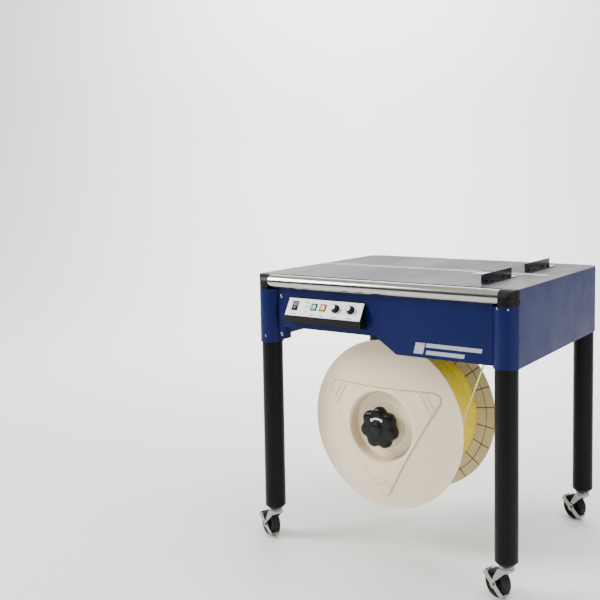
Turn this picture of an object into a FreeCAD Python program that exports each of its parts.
import FreeCAD, Part
import math
import os
import re

import Sketcher
from FreeCAD import Placement, Rotation, Vector

# Semi automatic table-top strapping machine.
# +Z is up, -Y is the operator's side, +X is to the operator's right, all in millimetres.
# The formulas below use a cabinet frame: X = 0 and Y = 0 midway between the legs, Z = 0 on the floor.
# Each sub-part is then moved by (centre_x, centre_y), so that the origin lies under the machine's middle.

doc = FreeCAD.newDocument("strapping_machine")
dims = doc.addObject("Spreadsheet::Sheet", "dims")

# Driving sizes: alias, value in millimetres or degrees, meaning.
SIZES = [
    ("table_width", 760, "overall width of the cabinet"),
    ("leg_pitch_y", 560, "distance between the front and rear leg axes"),
    ("table_height", 750, "floor to the table's top"),
    ("skirt_height", 187, "height of the blue skirt below the table's top"),
    ("post_radius", 32, "outside radius of the round corner posts"),
    ("post_wall", 3, "wall of the corner posts"),
    ("post_drop", 40, "front posts' top below the table's top, where the end caps sit"),
    ("leg_play", 0.5, "radial play between a leg and its post"),
    ("leg_wall", 2.5, "wall of the leg tubes"),
    ("leg_clear", 88, "floor to the legs' lower end"),
    ("leg_taper", 10, "height of the cone at the legs' lower end"),
    ("leg_overlap", 120, "length of leg inside its post"),
    ("panel_sheet", 2, "sheet of the side, front and rear panels"),
    ("table_sheet", 2.5, "sheet of the table plates"),
    ("seam", 0.5, "joint between fixed covers"),
    ("panel_setback", 22, "front panel behind the posts' front"),
    ("panel_gap", 1, "gap between the front or rear panel and the post axes' outline"),
    ("step_short", 143, "front panel's lower edge at the left, below the table's top"),
    ("step_long", 184, "front panel's lower edge at the right, below the table's top"),
    ("step_start", -7, "x where the lower edge turns down"),
    ("step_run", 62, "length along x of the slanted lower edge"),
    ("ear_width", 20, "screw ear at the front panel's left end"),
    ("ear_drop", 177, "lower edge of the screw ear, below the table's top"),
    ("ear_return", 28, "depth of the folded ear"),
    ("ear_hole_edge", 10.603, "panel screws from the front panel's end"),
    ("ear_hole_deep", 164, "lower panel screws below the table's top"),
    ("ear_hole_near", 60, "upper panel screws below the table's top"),
    ("chassis_drop", 140, "underside of the chassis plate, below the table's top"),
    ("chassis_sheet", 4, "thickness of the chassis plate"),
    ("chassis_inset", 24, "chassis plate inside the panels, front and rear"),
    ("slot_gap", 16, "width of the strap slot between the table plates"),
    ("slot_y", 8, "y of the strap slot's middle line"),
    ("slot_end", 141, "x where the long strap slot ends"),
    ("head_slot_y", 2, "y of the short slot's middle line, right of the head"),
    ("head_length", 60, "length along x of the sealing head's opening"),
    ("head_front", 48, "head opening in front of the slot's middle line"),
    ("head_rear", 30, "head opening behind the slot's middle line"),
    ("head_slot_end", 341, "x where the short slot ends"),
    ("head_wall", 5, "walls of the head block"),
    ("rail_wall", 2, "thickness of the slot's rails"),
    ("rail_deep", 12, "height of the slot's rails below the table's top"),
    ("rail_proud", 2, "rear rail above the table's top"),
    ("roller_radius", 18.5, "front roller"),
    ("roller_wall", 2, "wall of the front roller's tube"),
    ("roller_drop", 19.5, "roller axis below the table's top"),
    ("roller_setback", 19.5, "roller axis behind the posts' front"),
    ("cap_width", 42, "width of the roller's end caps"),
    ("cap_pin", 6, "radius of the end caps' pins, on which the roller turns"),
    ("cap_round", 24, "radius of the end caps' upper front edge"),
    ("fit", 0.05, "radial clearance of a shaft in its bore"),
    ("gap", 0.4, "clearance between pieces that move past each other"),
    ("stop_face", 259, "x of the package stops' working face"),
    ("stop_length", 186, "length of a package stop"),
    ("stop_tall", 23, "height of a package stop"),
    ("stop_sheet", 2, "sheet of the package stops"),
    ("stop_foot", 20, "width of a package stop's foot"),
    ("stop_front_y", -228, "front end of the front package stop"),
    ("stop_rear_y", 50, "front end of the rear package stop"),
    ("stop_screw_first", 47, "first screw from the stop's front end"),
    ("stop_screw_pitch", 104, "distance between a stop's screws"),
    ("stop_travel", 34, "travel of a package stop along its slot"),
    ("stop_screw", 2.5, "radius of the stop's screws"),
    ("control_left", -274, "x of the control box's left side"),
    ("control_width", 240, "width of the control box"),
    ("control_drop", 60, "control face's upper edge below the table's top"),
    ("control_face", 52, "height of the control face along its slope"),
    ("control_tilt", 30, "control face's tilt from upright"),
    ("control_lip", 17, "height of the lip under the control face"),
    ("control_shell", 2.5, "wall of the control box"),
    ("plate_sheet", 1.5, "thickness of the control plate"),
    ("plate_margin", 1.5, "control box edge around the control plate"),
    ("button_side", 14, "side of the square push buttons"),
    ("button_frame", 2.5, "width of the frame around a push button"),
    ("button_proud", 4, "height of a push button above the plate"),
    ("button_travel", 1.5, "travel of a push button"),
    ("rocker_wide", 14, "width of the power switch's rocker"),
    ("rocker_tall", 22, "height of the power switch's rocker"),
    ("knob_radius", 11.5, "radius of the control knobs"),
    ("knob_tall", 17, "height of the control knobs"),
    ("knob_shaft", 3, "radius of the control knobs' shafts"),
    ("lamp_radius", 2.4, "radius of the status lamps"),
    ("board_depth", 12, "control board behind the control face"),
    ("wheel_radius", 34.5, "caster wheel"),
    ("wheel_wide", 24, "caster wheel's tread"),
    ("caster_trail", 28, "caster axle behind its swivel axis"),
    ("caster_yaw", 158.8, "direction of the casters' trail at rest"),
    ("lever_angle", 38, "brake lever's slope at rest"),
    ("ring_radius", 18, "swivel rings"),
    ("stem_radius", 6, "caster stem"),
    ("fork_sheet", 2.5, "sheet of the caster forks"),
    ("axle_radius", 4, "caster axle"),
    ("reel_x", -28, "x of the reel's axis"),
    ("reel_drop", 397, "reel's axis below the table's top"),
    ("reel_front", -200, "y of the front flange's rim"),
    ("reel_space", 190, "width between the flanges"),
    ("flange_radius", 227, "reel flange"),
    ("flange_wall", 3, "thickness of the flanges"),
    ("dish_height", 34, "front flange's middle in front of its rim"),
    ("dish_radius", 112, "radius where the dish is full"),
    ("recess_radius", 91, "hand recess in the front flange"),
    ("recess_floor", 6, "recess floor in front of the flange's rim"),
    ("coil_radius", 175, "outside of the strap coil"),
    ("core_radius", 100, "outside of the reel's drum"),
    ("core_wall", 4, "wall of the reel's drum"),
    ("shaft_radius", 12, "reel shaft"),
    ("nose_radius", 9, "reel shaft's front end, under the hand knob"),
    ("star_radius", 56, "hand knob"),
    ("star_lobes", 7, "lobes of the hand knob"),
    ("star_tall", 24, "height of the hand knob's rim"),
    ("star_boss", 17.6, "boss that holds the hand knob's rim off the flange"),
    ("strap_wide", 12, "strap"),
    ("strap_thick", 0.7, "strap"),
    ("strap_y", -151, "y of the strap's front edge where it leaves the coil"),
    ("strap_lean", 21, "strap's lean from upright"),
    ("clamp_travel", 5.5, "lift of the gripper and the press"),
    ("clamp_long", 16, "clamp blocks along x"),
    ("clamp_deep", 24, "clamp blocks along y"),
    ("slide_travel", 20, "travel of the slide table"),
    ("slide_sheet", 2.5, "sheet of the slide table"),
    ("cam_drop", 95, "cam shaft below the table's top"),
    ("cam_radius", 18, "cam discs"),
    ("cam_throw", 3, "eccentricity of the cams"),
    ("cam_shaft_radius", 8, "cam shaft"),
    ("pulley_x", 80, "x of the pulleys' middle"),
    ("pulley_wide", 14, "width of the pulleys"),
    ("big_pulley", 38, "radius of the cam shaft's pulley"),
    ("small_pulley", 20, "radius of the motor's pulley"),
    ("motor_y", 122, "y of the motor's axis"),
    ("motor_drop", 83, "motor's axis below the table's top"),
    ("motor_radius", 45, "motor"),
    ("motor_long", 130, "length of the motor"),
    ("motor_shaft", 7, "radius of the motor's shaft"),
    ("belt_thick", 3, "drive belt"),
    ("feed_x", 236, "x of the feed roller's axis"),
    ("feed_drop", 82, "feed rollers' axes below the table's top"),
    ("feed_radius", 20, "feed roller"),
    ("pinch_radius", 15, "pinch roller"),
    ("feed_wide", 16, "width of the feed rollers"),
    ("dancer_radius", 14, "dancer roller"),
    ("dancer_arm", 52, "dancer roller's axis to its pivot"),
    ("screw_head", 4.5, "radius of the cover screws' heads"),
    ("screw_shank", 2.5, "radius of the cover screws' shanks"),
    ("socket_wide", 27, "mains inlet"),
    ("socket_tall", 20, "mains inlet"),
]

# Worked-out places: alias, formula on the sizes above, meaning.
PLACES = [
    ("leg_x", "table_width/2 - post_radius", "x of the right leg axes"),
    ("leg_y", "leg_pitch_y/2", "y of the rear leg axes"),
    ("leg_radius", "post_radius - post_wall - leg_play", "outside radius of the leg tubes"),
    ("step_high", "table_height - step_short", "height of the front panel's lower edge at the left"),
    ("step_low", "table_height - step_long", "height of the front panel's lower edge at the right"),
    ("ear_low", "table_height - ear_drop", "height of the screw ear's lower edge"),
    ("ear_hole_low", "table_height - ear_hole_deep", "height of the lower panel screws"),
    ("ear_hole_high", "table_height - ear_hole_near", "height of the upper panel screws"),
    ("chassis_low", "table_height - chassis_drop", "height of the chassis plate's underside"),
    ("control_top", "table_height - control_drop", "height of the control face's upper edge"),
    ("reel_height", "table_height - reel_drop", "height of the reel's axis"),
    ("cam_height", "table_height - cam_drop", "height of the cam shaft"),
    ("motor_height", "table_height - motor_drop", "height of the motor's axis"),
    ("feed_height", "table_height - feed_drop", "height of the feed rollers' axes"),
    ("front_y", "-(leg_y + post_radius)", "foremost face of the cabinet"),
    ("skirt_low", "table_height - skirt_height", "lower edge of the skirt"),
    ("panel_y", "front_y + panel_setback", "front face of the front panel"),
    ("table_low", "table_height - table_sheet", "underside of the table plates"),
    ("roller_y", "front_y + roller_setback", "y of the roller axis"),
    ("roller_z", "table_height - roller_drop", "height of the roller axis"),
    ("cap_low", "table_height - post_drop", "underside of the end caps"),
    ("cap_x", "table_width/2 - cap_width", "inner end of the right end cap"),
    ("head_x", "slot_end + 1.5", "left side of the sealing head's opening"),
    ("head_end", "head_x + head_length", "right side of the sealing head's opening"),
    ("chassis_top", "chassis_low + chassis_sheet", "upper face of the chassis plate"),
    ("inlet_low", "chassis_top + 26", "lower edge of the mains inlet's hole"),
    ("panel_end", "leg_x - sqrt(post_radius*post_radius - (post_radius - panel_setback)^2) - panel_gap",
     "x of the front and rear panels' right end"),
    ("ear_hole_x", "panel_end - ear_hole_edge", "x of the panel screws"),
    ("face_drop", "control_face*cos(control_tilt)", "height of the control face"),
    ("face_proud", "control_face*sin(control_tilt)", "control face's lower edge in front of the upper"),
    ("face_y", "panel_y - 3 - face_proud/2", "y of the control face's middle"),
    ("face_z", "control_top - face_drop/2", "height of the control face's middle"),
    ("face_x", "control_left + control_width/2", "x of the control face's middle"),
    ("fork_gap", "wheel_wide/2 + 1.5", "inner face of a fork cheek from the wheel's middle"),
    ("ring_low", "leg_clear - 13", "underside of the lower swivel ring"),
    ("rim_z", "0 - reel_front", "front flange's rim in the reel's own frame"),
    ("rear_flange_z", "rim_z - reel_space - 2*flange_wall", "rear flange's back, same frame"),
    ("star_z", "rim_z + recess_floor + flange_wall + gap + star_boss", "underside of the hand knob's rim"),
    ("slide_z", "table_low - 0.3 - slide_sheet", "underside of the slide table"),
    ("clamp_top", "slide_z - clamp_travel - 0.2", "top of the clamp blocks"),
    ("clamp_low", "cam_height + cam_radius + cam_throw + gap", "underside of the clamp blocks"),
    ("gripper_x", "head_x + 8", "left side of the strap gripper"),
    ("press_x", "gripper_x + clamp_long + 12", "left side of the seal press"),
    ("strap_x0", "reel_x + (coil_radius + gap)*cos(strap_lean)", "where the strap leaves the coil"),
    ("strap_z0", "reel_height - (coil_radius + gap)*sin(strap_lean)", "where the strap leaves the coil"),
    ("strap_long", "(chassis_top + 22 - strap_z0)/cos(strap_lean)", "length of the free strap"),
    ("dancer_x", "strap_x0 + strap_long*sin(strap_lean) + (dancer_radius + strap_thick + gap)*cos(strap_lean)",
     "x of the dancer roller"),
    ("dancer_z", "strap_z0 + strap_long*cos(strap_lean) - (dancer_radius + strap_thick + gap)*sin(strap_lean)",
     "height of the dancer roller"),
    ("lever_y", "fork_gap + fork_sheet + gap", "inner face of a brake lever from the wheel's middle"),
    ("caster_reach", "(caster_trail + wheel_radius)*abs(cos(caster_yaw)) + (lever_y + 2)*sin(caster_yaw)",
     "casters' reach beyond a leg axis"),
    ("centre_x", "(caster_reach - post_radius)/2", "shift of the cabinet's middle along x"),
    ("centre_y", "(2 - face_y + knob_tall*cos(control_tilt) - leg_y - post_radius)/2",
     "shift of the cabinet's middle along y"),
]

ALIASES = set()
PARTS = []


def fill_sheet():
    """Write the driving sizes and the worked-out places into the spreadsheet."""
    for row, (alias, content, meaning) in enumerate(SIZES + PLACES, start=1):
        text = str(content) if row <= len(SIZES) else "=" + content
        dims.set("A%d" % row, alias)
        dims.set("B%d" % row, text)
        dims.set("C%d" % row, meaning)
        dims.setAlias("B%d" % row, alias)
        ALIASES.add(alias)
    doc.recompute()


def formula(text):
    """Turn a formula on bare aliases into an expression that reads the sheet."""
    def from_sheet(word):
        return "dims." + word.group() if word.group() in ALIASES else word.group()
    return re.sub(r"[A-Za-z_]\w*", from_sheet, str(text))


def value(text):
    """The number that a formula gives now."""
    return float(dims.evalExpression(formula(text)))


def bind(thing, **sizes):
    """Bind an object's properties to formulas."""
    for name, text in sizes.items():
        thing.setExpression(name, formula(text))


def place(thing, x=0, y=0, z=0, turn=None):
    """Turn an object, then bind its position to formulas."""
    if turn:
        thing.Placement = Placement(Vector(), turn)
    for axis, text in zip("xyz", (x, y, z)):
        thing.setExpression("Placement.Base." + axis, formula(text))
    return thing


ALONG = {
    "x": Rotation(Vector(0, 1, 0), 90),
    "y": Rotation(Vector(1, 0, 0), -90),
    "z": Rotation(),
}


def box(x, y, z, length, width, height):
    """A block, from its low corner and its three sides."""
    block = doc.addObject("Part::Box", "block")
    bind(block, Length=length, Width=width, Height=height)
    return place(block, x, y, z)


def rod(x, y, z, radius, length, along="z"):
    """A cylinder, from the middle of its low end."""
    cylinder = doc.addObject("Part::Cylinder", "rod")
    bind(cylinder, Radius=radius, Height=length)
    return place(cylinder, x, y, z, ALONG[along])


def join(*pieces):
    """One solid from pieces that overlap."""
    fused = doc.addObject("Part::MultiFuse", "join")
    fused.Shapes = list(pieces)
    fused.Refine = True
    return fused


def group(*pieces):
    """Separate solids that share one node."""
    together = doc.addObject("Part::Compound", "group")
    together.Links = list(pieces)
    return together


def cut(base, *tools):
    """A solid less one or more tools."""
    result = doc.addObject("Part::Cut", "cut")
    result.Base = base
    result.Tool = tools[0] if len(tools) == 1 else join(*tools)
    return result


def common(one, other):
    """What two solids share."""
    result = doc.addObject("Part::Common", "common")
    result.Base = one
    result.Tool = other
    return result


def rounded(base, radius, pick):
    """Round the edges that pick accepts."""
    doc.recompute()
    size = value(radius)
    fillet = doc.addObject("Part::Fillet", "rounded")
    fillet.Base = base
    fillet.Edges = [(i, size, size) for i, edge in enumerate(base.Shape.Edges, start=1) if pick(edge)]
    return fillet


def runs_along(edge, axis):
    """Whether an edge is straight and parallel to an axis."""
    if not isinstance(edge.Curve, Part.Line):
        return False
    return abs(getattr(edge.Curve.Direction, axis)) > 0.999


def new_body():
    """An empty PartDesign body."""
    return doc.addObject("PartDesign::Body", "Body")


def outline(body, plane, corners, start="0"):
    """A closed outline on one of the body's planes, each corner bound to two formulas.

    On XY the corners are (x, y), on XZ (x, z) and on YZ (y, z). The plane is moved by start
    along its normal, which is +Z, -Y and +X.
    """
    sketch = body.newObject("Sketcher::SketchObject", "Outline")
    support = [f for f in body.Origin.OriginFeatures if f.Role == plane + "_Plane"]
    sketch.AttachmentSupport = [(support[0], "")]
    sketch.MapMode = "FlatFace"
    bind(sketch, **{"AttachmentOffset.Base.z": start})
    spots = [Vector(value(u), value(v), 0) for u, v in corners]
    count = len(spots)
    lines = [Part.LineSegment(spots[i], spots[(i + 1) % count]) for i in range(count)]
    sketch.addGeometry(lines, False)
    for i in range(count):
        sketch.addConstraint(Sketcher.Constraint("Coincident", i, 2, (i + 1) % count, 1))
    for i, (corner, spot) in enumerate(zip(corners, spots)):
        for kind, text, size in zip(("DistanceX", "DistanceY"), corner, (spot.x, spot.y)):
            index = sketch.addConstraint(Sketcher.Constraint(kind, -1, 1, i, 1, size))
            sketch.setExpression("Constraints[%d]" % index, formula(text))
    return sketch


def pad(body, sketch, length):
    """Grow an outline along its plane's normal."""
    feature = body.newObject("PartDesign::Pad", "Pad")
    feature.Profile = sketch
    bind(feature, Length=length)
    return feature


def prism(plane, corners, start, length):
    """A body with one padded outline."""
    body = new_body()
    pad(body, outline(body, plane, corners, start), length)
    return body


def turned(corners):
    """A body turned about Z from an outline of (radius, height) corners."""
    body = new_body()
    sketch = outline(body, "XZ", corners)
    feature = body.newObject("PartDesign::Revolution", "Turned")
    feature.Profile = sketch
    feature.ReferenceAxis = (sketch, ["V_Axis"])
    feature.Angle = 360
    return body


def soften(body, radius, pick):
    """Fillet the edges of a body's last feature that pick accepts."""
    doc.recompute()
    last = body.Tip
    names = ["Edge%d" % i for i, edge in enumerate(last.Shape.Edges, start=1) if pick(edge)]
    feature = body.newObject("PartDesign::Fillet", "Fillet")
    feature.Base = (last, names)
    bind(feature, Radius=radius)
    return body


def polar(body, feature, sketch, count):
    """Repeat a feature round the sketch's normal."""
    pattern = body.newObject("PartDesign::PolarPattern", "Round")
    pattern.Originals = [feature]
    pattern.Axis = (sketch, ["N_Axis"])
    pattern.Angle = 360
    bind(pattern, Occurrences=count)
    body.Tip = pattern
    return pattern


def keep(label, thing, x="0", y="0", z="0", turn=None):
    """Name a finished sub-part and move it from the cabinet frame to the machine's frame."""
    if thing.TypeId == "Part::Box":
        thing = group(thing)
    thing.Label = label
    place(thing, "centre_x + (%s)" % x, "centre_y + (%s)" % y, z, turn)
    PARTS.append(thing)
    return thing


SIDES = {"left": "-", "right": ""}


def make_posts():
    """Round corner posts with the leg tubes inside them."""
    def post(sign_x, sign_y, top):
        x, y = sign_x + "leg_x", sign_y + "leg_y"
        tube = rod(x, y, "skirt_low", "post_radius", top + " - skirt_low")
        bore = rod(x, y, "skirt_low - 1", "post_radius - post_wall", "leg_overlap + 1")
        return cut(tube, bore)

    def leg(sign_x, sign_y):
        top = "skirt_low + leg_overlap - 1"
        end = "leg_clear + leg_taper"
        tube = turned([
            ("stem_radius", "leg_clear"), ("leg_radius - leg_taper", "leg_clear"), ("leg_radius", end),
            ("leg_radius", top), ("leg_radius - leg_wall", top), ("leg_radius - leg_wall", end + " + 22"),
            ("stem_radius", end + " + 22"),
        ])
        return place(tube, sign_x + "leg_x", sign_y + "leg_y", 0)

    for end, sign_y, top in (("front", "-", "cap_low"), ("rear", "", "table_low")):
        keep("corner_posts_" + end, group(*[post(sign, sign_y, top) for sign in SIDES.values()]))
        keep("legs_" + end, group(*[leg(sign, sign_y) for sign in SIDES.values()]))


def make_panels():
    """Side, front and rear panels of the skirt, and the chassis plate across them."""
    long = "leg_pitch_y"
    tall = "table_low - skirt_low"
    for side, sign in SIDES.items():
        sheet = box("table_width/2 - panel_sheet" if side == "right" else "-table_width/2", "-leg_y",
                    "skirt_low", "panel_sheet", long, tall)
        posts = [rod(sign + "leg_x", sign_y + "leg_y", "skirt_low - 1", "post_radius + 0.1", tall + " + 2")
                 for sign_y in SIDES.values()]
        keep("side_panel_" + side, cut(sheet, *posts))

    end = "panel_end"
    top = "roller_z - roller_radius - gap"
    front = prism("XZ", [
        ("-" + end, top), ("-" + end, "ear_low"), ("-%s + ear_width" % end, "ear_low"),
        ("-%s + ear_width" % end, "step_high"), ("step_start", "step_high"),
        ("step_start + step_run", "step_low"), (end, "step_low"), (end, top),
    ], "-panel_y - panel_sheet", "panel_sheet")
    ear = box("-%s + ear_width - panel_sheet" % end, "panel_y", "ear_low", "panel_sheet", "ear_return",
              "chassis_low - ear_low")
    rim = box("-%s + 2" % end, "panel_y", top + " - panel_sheet", "2*%s - 4" % end, "10", "panel_sheet")
    holes = [rod("-ear_hole_x", "panel_y - 1", height, "screw_shank + fit", "panel_sheet + 2", "y")
             for height in ("ear_hole_low", "ear_hole_high")]
    window = box("control_left + 8", "panel_y - 1", "control_top - 48", "control_width - 16", "panel_sheet + 2",
                 "42")
    keep("front_panel", cut(join(front, ear, rim), window, *holes))

    rear = box("-" + end, "-panel_y - panel_sheet", "step_low", "2*" + end, "panel_sheet", "table_low - step_low")
    socket = box("150", "-panel_y - panel_sheet - 1", "inlet_low", "socket_wide + 0.2", "panel_sheet + 2",
                 "socket_tall + 0.2")
    rear_holes = [rod(sign + "ear_hole_x", "-panel_y - panel_sheet - 1", height, "screw_shank + fit",
                      "panel_sheet + 2", "y")
                  for sign in SIDES.values() for height in ("ear_hole_low", "ear_hole_high")]
    keep("rear_panel", cut(rear, socket, *rear_holes))

    depth = "2*(-panel_y - chassis_inset)"
    plate = box("-table_width/2 + panel_sheet + seam", "panel_y + chassis_inset", "chassis_low",
                "table_width - 2*panel_sheet - 2*seam", depth, "chassis_sheet")
    corners = [rod(sx + "leg_x", sy + "leg_y", "chassis_low - 1", "post_radius + seam", "30")
               for sx in SIDES.values() for sy in SIDES.values()]
    strap_hole = box("strap_x0 + (chassis_low - strap_z0)*tan(strap_lean) - 25", "strap_y - 6",
                     "chassis_low - 1", "50", "strap_wide + 12", "chassis_sheet + 2")
    webs = [box("-table_width/2 + panel_sheet + seam", y, "chassis_top",
                "table_width - 2*panel_sheet - 2*seam", "3", "14")
            for y in ("panel_y + chassis_inset", "-panel_y - chassis_inset - 3")]
    post_y = "strap_y + strap_wide + 8 + gap"
    post = box("dancer_x - 12", post_y, "chassis_top - 1", "24", "5", "dancer_z + dancer_arm + 11 - chassis_top")
    foot = box("dancer_x - 12", post_y, "chassis_top - 1", "24", "24", "4")
    pin = rod("dancer_x", "strap_y + strap_wide/2 - 4", "dancer_z + dancer_arm", 5, "strap_wide/2 + 14", "y")
    keep("chassis_plate", cut(join(plate, post, foot, pin, *webs), strap_hole, *corners))


def make_table():
    """The two table plates with the strap slot between them, and the slot's rails."""
    left, right = "-table_width/2", "table_width/2"
    front_edge = "roller_y + 10.5"
    near = "slot_y - slot_gap/2"
    far = "slot_y + slot_gap/2"
    head_near = "head_slot_y - slot_gap/2"
    head_far = "head_slot_y + slot_gap/2"
    front = prism("XY", [
        (left, "-leg_y"), ("-cap_x", "-leg_y"), ("-cap_x", front_edge), ("cap_x", front_edge),
        ("cap_x", "-leg_y"), (right, "-leg_y"), (right, head_near), ("head_end", head_near),
        ("head_end", "slot_y - head_front"),
        ("head_x", "slot_y - head_front"), ("head_x", near), (left, near),
    ], "table_low", "table_sheet")
    rear = prism("XY", [
        (left, far), ("head_x", far), ("head_x", "slot_y + head_rear"), ("head_end", "slot_y + head_rear"),
        ("head_end", head_far), (right, head_far), (right, "-front_y - 1"), (left, "-front_y - 1"),
    ], "table_low", "table_sheet")
    doc.recompute()
    edge_y = value("-front_y - 1")
    soften(rear, "post_radius - 1", lambda e: runs_along(e, "z") and abs(e.CenterOfMass.y - edge_y) < 0.01)

    def slots(start_y):
        screw = "stop_screw + 0.4"
        first = "%s + stop_screw_first" % start_y
        x = "stop_face + stop_sheet + (stop_foot - stop_sheet)/2"
        long = "stop_screw_pitch + stop_travel + 3"
        mid = box("%s - (%s)" % (x, screw), first, "table_low - 1", "2*(%s)" % screw, long, "table_sheet + 2")
        ends = [rod(x, y, "table_low - 1", screw, "table_sheet + 2") for y in (first, first + " + " + long)]
        return [mid] + ends

    def holes(sign_y):
        return [rod(sign + "(table_width/2 - 15)", sign_y + "150", "table_low - 1", "screw_shank + fit",
                    "table_sheet + 2") for sign in SIDES.values()]

    skirt = box("-cap_x + 2", "roller_y + roller_radius + 1", "table_low - 10", "2*cap_x - 4", "table_sheet",
                "11")
    keep("table_front", cut(join(front, skirt), *slots("stop_front_y"), *holes("-")))
    slot_stop = box("head_slot_end", head_near + " + 0.15", "table_low", "table_width/2 - head_slot_end",
                    "slot_gap - 0.15", "table_sheet")
    keep("table_rear", group(cut(rear, *slots("stop_rear_y"), *holes("")), slot_stop))

    def rail(start, long, y, proud):
        tall = "rail_deep + " + proud
        return box(start, y, "table_height - rail_deep", long, "rail_wall", tall)
    long = "table_width/2 + head_x - head_wall - panel_sheet - 1.5"
    short = "head_slot_end - head_end - head_wall - 1"
    keep("strap_rails", group(
        rail("-table_width/2 + panel_sheet + 1", long, near, "0.5"),
        rail("-table_width/2 + panel_sheet + 1", long, far + " - rail_wall", "rail_proud"),
        rail("head_end + head_wall + 0.5", short, head_near, "0.5"),
        rail("head_end + head_wall + 0.5", short, head_far + " - rail_wall", "rail_proud")))


def make_roller():
    """The front roller on the pins of its two end caps."""
    half = "(cap_x - gap)"
    bore = "cap_pin + fit"
    tube = turned([
        (bore, "-" + half), ("roller_radius", "-" + half), ("roller_radius", half), (bore, half),
        (bore, "%s - 14" % half), ("roller_radius - roller_wall", "%s - 16" % half),
        ("roller_radius - roller_wall", "-%s + 16" % half), (bore, "-%s + 14" % half),
    ])
    keep("front_roller", tube, 0, "roller_y", "roller_z", ALONG["x"])

    for side, sign in SIDES.items():
        tall = "post_drop"
        deep = "-leg_y - seam - front_y"
        start = "-table_width/2" if sign else "cap_x"
        round_plan = join(
            rod(sign + "leg_x", "-leg_y", "cap_low", "post_radius", tall),
            box("-leg_x" if sign else "cap_x", "front_y", "cap_low", "leg_x - cap_x", deep, tall))
        profile = rounded(box(start, "front_y", "cap_low + 0.1", "cap_width", deep, tall + " - 0.1"), "cap_round",
                          lambda e: runs_along(e, "x") and e.CenterOfMass.y < value("front_y") + 1
                          and e.CenterOfMass.z > value("table_height") - 1)
        shell = common(round_plan, profile)
        pin_start = "-cap_x - 4" if sign else "cap_x - 12"
        pin = rod(pin_start, "roller_y", "roller_z", "cap_pin", "16", "x")
        keep("end_cap_" + side, join(shell, pin))


def make_stops():
    """Package stops: angle plates that are screwed down in slots of the table."""
    for name, start in (("front", "stop_front_y"), ("rear", "stop_rear_y")):
        low = "table_height + gap/2"
        face = box("stop_face", start, low, "stop_sheet", "stop_length", "stop_tall")
        foot = box("stop_face", start, low, "stop_foot", "stop_length", "stop_sheet")
        x = "stop_face + stop_sheet + (stop_foot - stop_sheet)/2"
        screws = []
        for y in ("%s + stop_screw_first" % start, "%s + stop_screw_first + stop_screw_pitch" % start):
            head = rod(x, y, low + " + stop_sheet", "4.6", "3")
            shank = rod(x, y, "table_low - 9", "stop_screw", "table_sheet + 9 + gap/2 + stop_sheet + 1")
            nut = rod(x, y, "table_low - 5", "6", "5 - gap/2")
            screws += [head, shank, nut]
        holes = [rod(x, y, "table_height - 1", "stop_screw", "6")
                 for y in ("%s + stop_screw_first" % start, "%s + stop_screw_first + stop_screw_pitch" % start)]
        angle = cut(join(face, foot), *holes)
        keep("package_stop_" + name, group(angle, join(*screws[:3]), join(*screws[3:])))


def on_face(x, y, z=0):
    """Where a spot of the tilted control face lies: x to the right, y up the slope, z out of it."""
    return ("face_x + (%s)" % x,
            "face_y + (%s)*sin(control_tilt) - (%s)*cos(control_tilt)" % (y, z),
            "face_z + (%s)*cos(control_tilt) + (%s)*sin(control_tilt)" % (y, z))


CONTROLS = {"power": -93, "lamps": -57, "feed": -32, "reset": -3, "timer": 37, "tension": 84}
CONTROL_Y = 3


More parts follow.
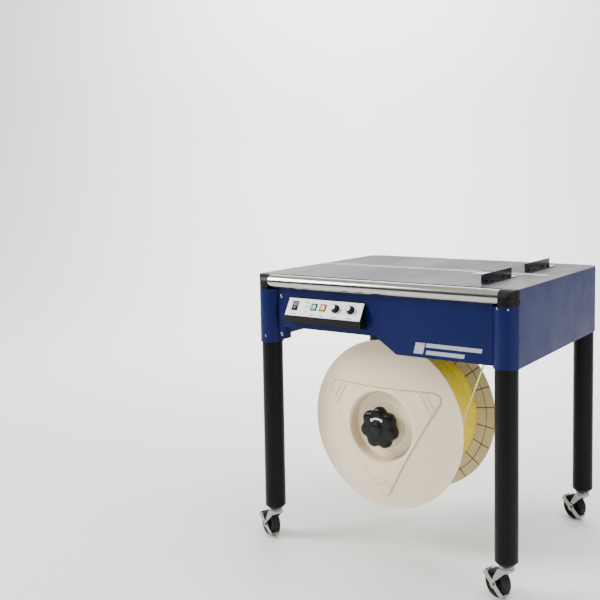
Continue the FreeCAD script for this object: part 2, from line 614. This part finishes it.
def make_controls():
    """The tilted control box with its plate, switch, buttons, knobs, lamps and board."""
    slope = Rotation(Vector(1, 0, 0), 90 - value("control_tilt"))
    top = "panel_y - 3"
    wedge = prism("YZ", [
        ("panel_y - gap/4", "control_top + 2"), (top, "control_top"), (top + " - face_proud", "control_top - face_drop"),
        (top + " - face_proud + 2", "control_top - face_drop - control_lip"),
        ("panel_y - gap/4", "control_top - face_drop - control_lip - 6"),
    ], "control_left", "control_width")
    shell = "control_shell"
    inside = prism("YZ", [
        ("panel_y + 1", "control_top - 4"), (top + " - 1", "control_top - 4.5"),
        (top + " - face_proud + 3", "control_top - face_drop + 0.6"),
        (top + " - face_proud + 5", "control_top - face_drop - control_lip + 3.2"),
        ("panel_y + 1", "control_top - face_drop - control_lip - 2.4"),
    ], "control_left + " + shell, "control_width - 2*" + shell)

    def square_hole(x, y, wide, tall, low, high):
        tool = box(0, 0, 0, wide, tall, "%s - (%s)" % (high, low))
        return place(tool, *on_face("%s - (%s)/2" % (x, wide), "%s - (%s)/2" % (y, tall), low), turn=slope)

    def round_tool(x, y, radius, low, high):
        tool = rod(0, 0, 0, radius, "%s - (%s)" % (high, low))
        return place(tool, *on_face(x, y, low), turn=slope)

    buttons = [CONTROLS["feed"], CONTROLS["reset"]]
    knobs = [CONTROLS["timer"], CONTROLS["tension"]]
    lamps = [("%d" % CONTROLS["lamps"], "%d" % y) for y in (15, 2, -11)]
    side = "button_side + 2*gap"
    frame_side = "button_side + 2*gap + 2*button_frame"
    collars = [square_hole(x, CONTROL_Y, frame_side, frame_side, "-1", "plate_sheet + 1") for x in buttons]
    collars.append(square_hole(CONTROLS["power"], CONTROL_Y, "rocker_wide + 5", "rocker_tall + 5", "-1",
                               "plate_sheet + 1"))
    openings = [square_hole(x, CONTROL_Y, side, side, "-6", "6") for x in buttons]
    openings.append(square_hole(CONTROLS["power"], CONTROL_Y, "rocker_wide + 2*gap", "rocker_tall + 2*gap", "-6",
                                "6"))
    openings += [round_tool(x, CONTROL_Y, "knob_shaft + gap", "-6", "6") for x in knobs]
    keep("control_housing", cut(join(cut(wedge, inside), *collars), *openings))

    plate = square_hole(0, 0, "control_width - 2*plate_margin", "control_face - 2*plate_margin", "0",
                        "plate_sheet")
    frames = [square_hole(x, CONTROL_Y, frame_side, frame_side, "-1", "3") for x in buttons]
    frames.append(square_hole(CONTROLS["power"], CONTROL_Y, "rocker_wide + 5", "rocker_tall + 5", "-1", "3"))
    plate_holes = [round_tool(x, CONTROL_Y, "knob_shaft + gap", "-1", "3") for x in knobs]
    plate_holes += [round_tool(x, y, "lamp_radius", "-1", "3") for x, y in lamps]
    keep("control_plate", cut(plate, *frames, *plate_holes))
    keep("status_lamps", group(*[round_tool(x, y, "lamp_radius", "0", "plate_sheet + 0.8") for x, y in lamps]))

    rocker = prism("YZ", [
        ("-rocker_tall/2 + 1.2", "-5"), ("rocker_tall/2 - 1.2", "-5"), ("rocker_tall/2 - 0.2", "0"),
        ("rocker_tall/2 - 0.3", "2.6"), ("0", "1.9"), ("-rocker_tall/2 + 1.4", "5"),
        ("-rocker_tall/2 + 0.7", "4.2"), ("-rocker_tall/2 + 0.5", "0"),
    ], "-rocker_wide/2", "rocker_wide")
    keep("power_switch", rocker, *on_face(CONTROLS["power"], CONTROL_Y), turn=slope)

    for name in ("feed", "reset"):
        cap = box("-button_side/2", "-button_side/2", "-3", "button_side", "button_side", "3 + button_proud")
        stem = rod(0, 0, "-board_depth + button_travel + gap + 3", 3, "board_depth - button_travel - gap - 5")
        keep(name + "_button", join(cap, stem), *on_face(CONTROLS[name], CONTROL_Y), turn=slope)

    for name in ("timer", "tension"):
        grip = new_body()
        base = "plate_sheet + gap"
        turned_grip = outline(grip, "XZ", [
            ("0", base), ("knob_radius", base), ("knob_radius", base + " + 3"), ("knob_radius - 2.5", base + " + 6"),
            ("knob_radius - 4", "knob_tall"), ("0", "knob_tall"),
        ])
        feature = grip.newObject("PartDesign::Revolution", "Turned")
        feature.Profile = turned_grip
        feature.ReferenceAxis = (turned_grip, ["V_Axis"])
        feature.Angle = 360
        shaft = rod(0, 0, "-board_depth + 6", "knob_shaft", "board_depth")
        pointer = box("-0.8", "knob_radius - 8", "knob_tall - 0.5", "1.6", "3.4", "1")
        keep(name + "_knob", join(grip, shaft, pointer), *on_face(CONTROLS[name], CONTROL_Y), turn=slope)

    board = square_hole(0, -1, "control_width - 24", "30", "-board_depth", "-board_depth + 1.6")
    posts = [round_tool(x, y, 3, "-board_depth + 1", "-control_shell + 0.1") for x in (-105, 105) for y in (-12, 10)]
    pots = [cut(round_tool(x, CONTROL_Y, 8, "-board_depth + 1", "-control_shell - 1.2"),
                round_tool(x, CONTROL_Y, "knob_shaft + fit", "-board_depth + 5", "0")) for x in knobs]
    switches = [square_hole(x, CONTROL_Y, 8, 8, "-board_depth + 1", "-board_depth + 3") for x in buttons]
    keep("control_board", join(board, *posts, *pots, *switches))


def make_head():
    """Slide table, clamp blocks, cam shaft, motor, belt and feed rollers under the table."""
    slide = box("head_x - 4", "slot_y - head_front - 10", "slide_z", "head_length + 8",
                "head_front + head_rear - slide_travel + 12", "slide_sheet")
    raised = box("head_x + gap", "slot_y - head_front + gap", "slide_z", "head_length - 2*gap",
                 "head_front + head_rear - slide_travel - 2*gap", "table_height - slide_z")
    keep("slide_table", join(slide, raised))

    block = box("head_x - head_wall", "slot_y - 38", "chassis_top", "head_length + 2*head_wall", "76",
                "slide_z - gap - chassis_top")
    cavity = box("head_x", "slot_y - 34", "chassis_top + 6", "head_length", "68", "clamp_low + 12 - chassis_top - 6")
    mouth = box("head_x", "slot_y - 40", "chassis_top + 6", "head_length", "10", "clamp_low + 12 - chassis_top - 6")
    bearing = rod("head_x - 20", "slot_y", "cam_height", "cam_shaft_radius + fit", "head_length + 40", "x")
    wells = [box(x + " - gap", "slot_y - clamp_deep/2 - gap", "clamp_low", "clamp_long + 2*gap",
                 "clamp_deep + 2*gap", "table_height - clamp_low") for x in ("gripper_x", "press_x")]
    cheek_y = "slot_y + feed_wide/2 + gap"
    cheek = box("head_end + head_wall - 1", cheek_y, "chassis_top", "92", "8", "90")
    holes = [rod(x, cheek_y + " - 1", "feed_height", "5 + fit", "10", "y")
             for x in ("feed_x", "feed_x + feed_radius + pinch_radius + strap_thick + gap")]
    keep("head_block", cut(join(block, cheek), cavity, mouth, bearing, *wells, *holes))

    for name, x in (("strap_gripper", "gripper_x"), ("seal_press", "press_x")):
        jaw = box(x, "slot_y - clamp_deep/2", "clamp_low", "clamp_long", "clamp_deep", "clamp_top - clamp_low")
        notch = box(x + " - 1", "slot_y - strap_wide/2 - 1", "clamp_top - 1", "3", "strap_wide + 2", "2")
        keep(name, cut(jaw, notch))

    shaft = rod("pulley_x - pulley_wide/2 - 6", "slot_y", "cam_height", "cam_shaft_radius",
                "head_end + 12 - pulley_x + pulley_wide/2 + 6", "x")
    cams = [rod(x + " + 1", "slot_y", "cam_height + " + sign + "cam_throw", "cam_radius", "clamp_long - 2", "x")
            for x, sign in (("gripper_x", ""), ("press_x", "-"))]
    wheel = rod("pulley_x - pulley_wide/2", "slot_y", "cam_height", "big_pulley", "pulley_wide", "x")
    groove = cut(rod("pulley_x - pulley_wide/2 + 2", "slot_y", "cam_height", "big_pulley + 1", "pulley_wide - 4", "x"),
                 rod("pulley_x - pulley_wide/2 + 1", "slot_y", "cam_height", "big_pulley - belt_thick",
                     "pulley_wide - 2", "x"))
    keep("cam_shaft", join(shaft, cut(wheel, groove), *cams))

    start = "pulley_x - pulley_wide/2 - 22 - motor_long"
    can = rod(start, "motor_y", "motor_height", "motor_radius", "motor_long", "x")
    nose = rod(start + " + motor_long - 1", "motor_y", "motor_height", 20, "13", "x")
    base = box(start + " + 15", "motor_y - 35", "chassis_top", "motor_long - 30", "70",
               "motor_height - motor_radius + 8 - chassis_top")
    seat = rod(start + " + motor_long - 30", "motor_y", "motor_height", "motor_shaft + fit", "60", "x")
    keep("drive_motor", cut(join(can, nose, base), seat))
    small = join(
        rod(start + " + motor_long - 25", "motor_y", "motor_height", "motor_shaft",
            "pulley_wide + 22 + 27", "x"),
        cut(rod("pulley_x - pulley_wide/2", "motor_y", "motor_height", "small_pulley", "pulley_wide", "x"),
            cut(rod("pulley_x - pulley_wide/2 + 2", "motor_y", "motor_height", "small_pulley + 1",
                    "pulley_wide - 4", "x"),
                rod("pulley_x - pulley_wide/2 + 1", "motor_y", "motor_height", "small_pulley - belt_thick",
                    "pulley_wide - 2", "x"))))
    keep("motor_pulley", small)
    make_belt()

    for name, x, radius in (("feed_roller", "feed_x", "feed_radius"),
                            ("pinch_roller", "feed_x + feed_radius + pinch_radius + strap_thick + gap",
                             "pinch_radius")):
        drum = rod(x, "slot_y - feed_wide/2", "feed_height", radius, "feed_wide", "y")
        shaft = rod(x, "slot_y - feed_wide/2 - 2", "feed_height", 5, "feed_wide + 2 + gap + 10", "y")
        keep(name, join(drum, shaft))

    core = box("-215", "95", "chassis_top", "84", "60", "72")
    coil = rounded(box("-205", "85", "chassis_top + 14", "64", "80", "44"), "8", lambda e: runs_along(e, "z"))
    keep("transformer", join(core, coil))


def make_belt():
    """The flat drive belt, as a loop round the two pulleys' grooves."""
    run = value("belt_thick - gap")
    width = value("pulley_wide - 4 - 2*gap")
    side = value("pulley_x") - width / 2
    inner = [(value("slot_y"), value("cam_height"), value("big_pulley - belt_thick + gap")),
             (value("motor_y"), value("motor_height"), value("small_pulley - belt_thick + gap"))]

    def loop(extra):
        (y1, z1, r1), (y2, z2, r2) = inner
        r1, r2 = r1 + extra, r2 + extra
        span = math.hypot(y2 - y1, z2 - z1)
        heading = math.atan2(z2 - z1, y2 - y1)
        open_angle = math.acos((r1 - r2) / span)
        spots = []
        for y, z, radius, sign in ((y1, z1, r1, 1), (y2, z2, r2, 1), (y2, z2, r2, -1), (y1, z1, r1, -1)):
            angle = heading + sign * open_angle
            spots.append(Vector(side, y + radius * math.cos(angle), z + radius * math.sin(angle)))
        near = Vector(side, y1 - r1 * math.cos(heading), z1 - r1 * math.sin(heading))
        far = Vector(side, y2 + r2 * math.cos(heading), z2 + r2 * math.sin(heading))
        edges = [Part.makeLine(spots[0], spots[1]), Part.Arc(spots[1], far, spots[2]).toShape(),
                 Part.makeLine(spots[2], spots[3]), Part.Arc(spots[3], near, spots[0]).toShape()]
        return Part.Face(Part.Wire(edges))

    belt = doc.addObject("Part::Feature", "belt")
    belt.Shape = loop(run).cut(loop(0)).extrude(Vector(width, 0, 0)).Solids[0]
    keep("drive_belt", belt)


def make_reel():
    """The strap reel on its hanging shaft, and the strap that leaves it."""
    outward = Rotation(Vector(1, 0, 0), 90)

    def keep_on_reel(label, thing):
        return keep(label, thing, "reel_x", 0, "reel_height", outward)

    plate_y = "12 - rear_flange_z"
    hanger = join(
        box("reel_x - 40", plate_y, "reel_height - 30", "80", "6", "chassis_low - reel_height + 30"),
        box("reel_x - 60", plate_y + " - 20", "chassis_low - 6", "120", "52", "6"),
        rod("reel_x", "-rim_z - recess_floor - flange_wall - gap", "reel_height", "shaft_radius",
            plate_y + " + 6 + rim_z + recess_floor + flange_wall + gap", "y"),
        rod("reel_x", "-star_z - 16", "reel_height", "nose_radius", "40", "y"),
        rod("reel_x", plate_y + " - 6", "reel_height", 22, "6", "y"))
    keep("reel_bracket", hanger)

    bore = "shaft_radius + fit"
    hub = 30
    front = "rim_z"
    rear = turned([
        (bore, "rear_flange_z - 4"), (hub, "rear_flange_z - 4"), (hub, "rear_flange_z"),
        ("flange_radius", "rear_flange_z"), ("flange_radius", "rear_flange_z + flange_wall"),
        (bore, "rear_flange_z + flange_wall"),
    ])
    grooves = outline(rear, "XY", [("-0.6", "coil_radius - 20"), ("0.6", "coil_radius - 20"),
                                   ("0.6", "flange_radius - 1"), ("-0.6", "flange_radius - 1")],
                      "rear_flange_z + flange_wall - 0.8")
    slit = rear.newObject("PartDesign::Pocket", "Grooves")
    slit.Profile = grooves
    slit.Reversed = True
    bind(slit, Length="2")
    polar(rear, slit, grooves, "24")
    keep_on_reel("rear_flange", rear)

    drum_low = "rear_flange_z + flange_wall"
    keep_on_reel("reel_drum", turned([
        (bore, drum_low), ("core_radius - 0.3", drum_low), ("core_radius - 0.3", front),
        ("core_radius - core_wall", front), ("core_radius - core_wall", drum_low + " + core_wall"),
        (hub, drum_low + " + core_wall"), (hub, front + " - core_wall"), (bore, front + " - core_wall"),
    ]))
    keep_on_reel("strap_coil", turned([
        ("core_radius", drum_low + " + 1"), ("coil_radius", drum_low + " + 1"), ("coil_radius", front + " - 1"),
        ("core_radius", front + " - 1"),
    ]))

    floor = front + " + recess_floor"
    plateau = front + " + dish_height"
    wall = "flange_wall"
    keep_on_reel("front_flange", turned([
        (bore, floor), ("recess_radius + flange_wall", floor), ("recess_radius + flange_wall + 2", plateau + " - 4"),
        ("dish_radius - 2", plateau + " - 4"), ("flange_radius - 8", front), ("flange_radius", front),
        ("flange_radius", front + " + " + wall), ("flange_radius - 7", front + " + " + wall),
        ("dish_radius", plateau), ("recess_radius + 2", plateau), ("recess_radius", floor + " + " + wall),
        (bore, floor + " + " + wall),
    ]))

    star = new_body()
    nose = "nose_radius + fit"
    sketch = outline(star, "XZ", [
        (nose, "star_z - star_boss"), (24, "star_z - star_boss"), (26, "star_z"), ("star_radius - 2", "star_z"),
        ("star_radius", "star_z + 3"), ("star_radius", "star_z + star_tall - 6"),
        ("star_radius - 5", "star_z + star_tall"), (26, "star_z + star_tall + 2"),
        (17, "star_z + star_tall + 1"), (16, "star_z + star_tall + 7"), (0, "star_z + star_tall + 7"),
        (0, "star_z + 17"), (nose, "star_z + 17"),
    ])
    body_turn = star.newObject("PartDesign::Revolution", "Turned")
    body_turn.Profile = sketch
    body_turn.ReferenceAxis = (sketch, ["V_Axis"])
    body_turn.Angle = 360
    doc.recompute()
    bites = []
    for lobe in range(int(value("star_lobes"))):
        angle = "90 + %d*360/star_lobes + 180/star_lobes" % lobe
        bites.append(rod("(star_radius + 13)*cos(%s)" % angle, "(star_radius + 13)*sin(%s)" % angle,
                         "star_z - 10", "20", "star_tall + 30"))
    keep_on_reel("hub_knob", cut(star, *bites))

    strap = box(0, 0, 0, "strap_thick", "strap_wide", "strap_long")
    lean = Rotation(Vector(0, 1, 0), value("strap_lean"))
    keep("strap_lead", strap, "strap_x0", "strap_y", "strap_z0", lean)

    side_y = "strap_y + strap_wide + 4"
    pivot_z = "dancer_z + dancer_arm"
    roller = rod("dancer_x", "strap_y - 3", "dancer_z", "dancer_radius", "strap_wide + 6", "y")
    arm = box("dancer_x - 6", side_y, "dancer_z", "12", "4", "dancer_arm")
    ends = [rod("dancer_x", side_y, z, "7", "4", "y") for z in ("dancer_z", pivot_z)]
    spindle = rod("dancer_x", "strap_y - 3", "dancer_z", 4, "strap_wide + 10", "y")
    bush = rod("dancer_x", "strap_y + strap_wide - 8", pivot_z, "8", "16", "y")
    bore = rod("dancer_x", "strap_y - 40", pivot_z, "5 + fit", "120", "y")
    keep("dancer_arm", cut(join(roller, arm, spindle, bush, *ends), bore))


def make_casters():
    """Four swivel casters with brake levers, each drawn with its trail along +X."""
    corners = {"front_left": ("-", "-"), "front_right": ("", "-"), "rear_left": ("-", ""), "rear_right": ("", "")}
    yaw = Rotation(Vector(0, 0, 1), value("caster_yaw"))
    lever_tilt = Rotation(Vector(0, 1, 0), -value("lever_angle"))
    ring_top = "ring_low + 6"
    stems = []
    for name, (sign_x, sign_y) in corners.items():
        at = (sign_x + "leg_x", sign_y + "leg_y", 0)
        stems.append(place(turned([
            ("0", "ring_low - 4.5"), ("9", "ring_low - 4.5"), ("9", "ring_low - 2.9"),
            ("stem_radius - 1", "ring_low - 2.9"), ("stem_radius - 1", ring_top + " + gap"),
            ("ring_radius", ring_top + " + gap"), ("ring_radius + 1", ring_top + " + 3"),
            ("ring_radius", "leg_clear"), ("stem_radius", "leg_clear"),
            ("stem_radius", "leg_clear + leg_taper + 20"), ("0", "leg_clear + leg_taper + 20"),
        ]), *at))

        boss = "axle_radius + 6"
        cheek_outline = [("-12", "ring_low + 0.1"), ("15", "ring_low + 0.1"),
                         ("caster_trail + %s" % boss, "wheel_radius + 2"), ("caster_trail + 4", "wheel_radius - 9"),
                         ("caster_trail - 4", "wheel_radius - 9"), ("caster_trail - %s" % boss, "wheel_radius + 1")]
        cheeks = [prism("XZ", cheek_outline, start, "fork_sheet") for start in
                  ("fork_gap", "-fork_gap - fork_sheet")]
        crown = box("-14", "-fork_gap - fork_sheet", "ring_low - 2.5", "29", "2*(fork_gap + fork_sheet)", "2.6")
        ring = rod(0, 0, "ring_low", "ring_radius + 1", "6")
        axle = rod("caster_trail", "-fork_gap - fork_sheet - 3", "wheel_radius", "axle_radius",
                   "2*fork_gap + 2*fork_sheet + 10", "y")
        hexagon = rod("caster_trail", "-fork_gap - fork_sheet - 5", "wheel_radius", "axle_radius + 3", "5", "y")
        hole = rod(0, 0, "ring_low - 10", "stem_radius - 1 + fit", "30")
        fork = cut(join(crown, ring, axle, hexagon, *cheeks), hole)
        keep("caster_fork_" + name, fork, at[0], at[1], 0, yaw)

        tread = "wheel_radius"
        wheel = turned([
            ("axle_radius + fit", "-wheel_wide/2 - 1"), ("11", "-wheel_wide/2 - 1"), ("12", "-wheel_wide/2 + 2"),
            (tread + " - 12", "-wheel_wide/2 + 2"), (tread + " - 10", "-wheel_wide/2"),
            (tread + " - 3", "-wheel_wide/2"), (tread, "-wheel_wide/2 + 4"), (tread, "wheel_wide/2 - 4"),
            (tread + " - 3", "wheel_wide/2"), (tread + " - 10", "wheel_wide/2"),
            (tread + " - 12", "wheel_wide/2 - 2"), ("12", "wheel_wide/2 - 2"), ("11", "wheel_wide/2 + 1"),
            ("axle_radius + fit", "wheel_wide/2 + 1"),
        ])
        turn = yaw.multiply(ALONG["y"])
        keep("caster_wheel_" + name, wheel, at[0] + " + caster_trail*cos(caster_yaw)",
             at[1] + " + caster_trail*sin(caster_yaw)", "wheel_radius", turn)

        reach = "(wheel_radius + 4)"
        arms = box("-" + reach, "lever_y", "-7", "2*" + reach, "2", "14")
        tabs = [box(x, "-8", "-7", "2", "lever_y + 10", "14") for x in ("-" + reach, reach + " - 2")]
        disc = rod(0, "lever_y", 0, 11, "2", "y")
        pivot = rod(0, "lever_y - 1", 0, "axle_radius + fit", 4, "y")
        lever = cut(join(arms, disc, *tabs), pivot)
        keep("brake_lever_" + name, lever, at[0] + " + caster_trail*cos(caster_yaw)",
             at[1] + " + caster_trail*sin(caster_yaw)", "wheel_radius", yaw.multiply(lever_tilt))
    keep("caster_stems", group(*stems))


def make_fixings():
    """Cover screws and the mains inlet."""
    def panel_screw(x, y, z, out):
        start = "%s - 2.5" % y if out == "-" else y
        low = "%s - 0.1" % y if out == "-" else "%s - panel_sheet - 5" % y
        head = rounded(rod(x, start, z, "screw_head", "2.5", "y"), "1.2",
                       lambda e: isinstance(e.Curve, Part.Circle)
                       and abs(e.CenterOfMass.y - value("%s %s 2.5" % (y, out))) < 0.01)
        return join(head, rod(x, low, z, "screw_shank", "panel_sheet + 5.1", "y"))

    def table_screw(x, y):
        head = rod(x, y, "table_height", "screw_head", "2")
        return join(head, rod(x, y, "table_low - 5", "screw_shank", "table_sheet + 5.1"))

    heights = ("ear_hole_low", "ear_hole_high")
    screws = [panel_screw("-ear_hole_x", "panel_y", z, "-") for z in heights]
    screws += [panel_screw(sign + "ear_hole_x", "-panel_y", z, "+") for sign in SIDES.values() for z in heights]
    screws += [table_screw(sign + "(table_width/2 - 15)", y) for sign in SIDES.values() for y in (-150, 150)]
    keep("cover_screws", group(*screws))

    inlet = box("150.1", "-panel_y - panel_sheet - 18", "inlet_low + 0.1", "socket_wide", "panel_sheet + 18", "socket_tall")
    flange = box("146", "-panel_y", "inlet_low - 4", "socket_wide + 8.2", "2", "socket_tall + 8.2")
    hollow = box("152.5", "-panel_y - 14", "inlet_low + 2.5", "socket_wide - 4.8", "20", "socket_tall - 4.8")
    pins = [box(x, "-panel_y - 15", "inlet_low + 8", "2", "8", "5") for x in ("156", "162.6", "169")]
    keep("mains_inlet", join(cut(join(inlet, flange), hollow), *pins))


def export():
    """Check every object and sub-part, then write one STEP file for each sub-part."""
    doc.recompute()
    for thing in doc.Objects:
        if "Invalid" in thing.State or "Error" in thing.State:
            raise RuntimeError("%s (%s) is in state %s" % (thing.Name, thing.Label, thing.State))
    for thing in PARTS:
        if thing.Shape.isNull() or not thing.Shape.isValid():
            raise RuntimeError("%s has no valid shape" % thing.Label)
    os.makedirs("parts", exist_ok=True)
    for thing in PARTS:
        thing.Shape.exportStep("parts/%s.step" % thing.Label)
    print("%d sub-parts, %d solids" % (len(PARTS), sum(len(p.Shape.Solids) for p in PARTS)))


fill_sheet()
make_posts()
make_panels()
make_table()
make_roller()
make_stops()
make_controls()
make_head()
make_reel()
make_casters()
make_fixings()
export()
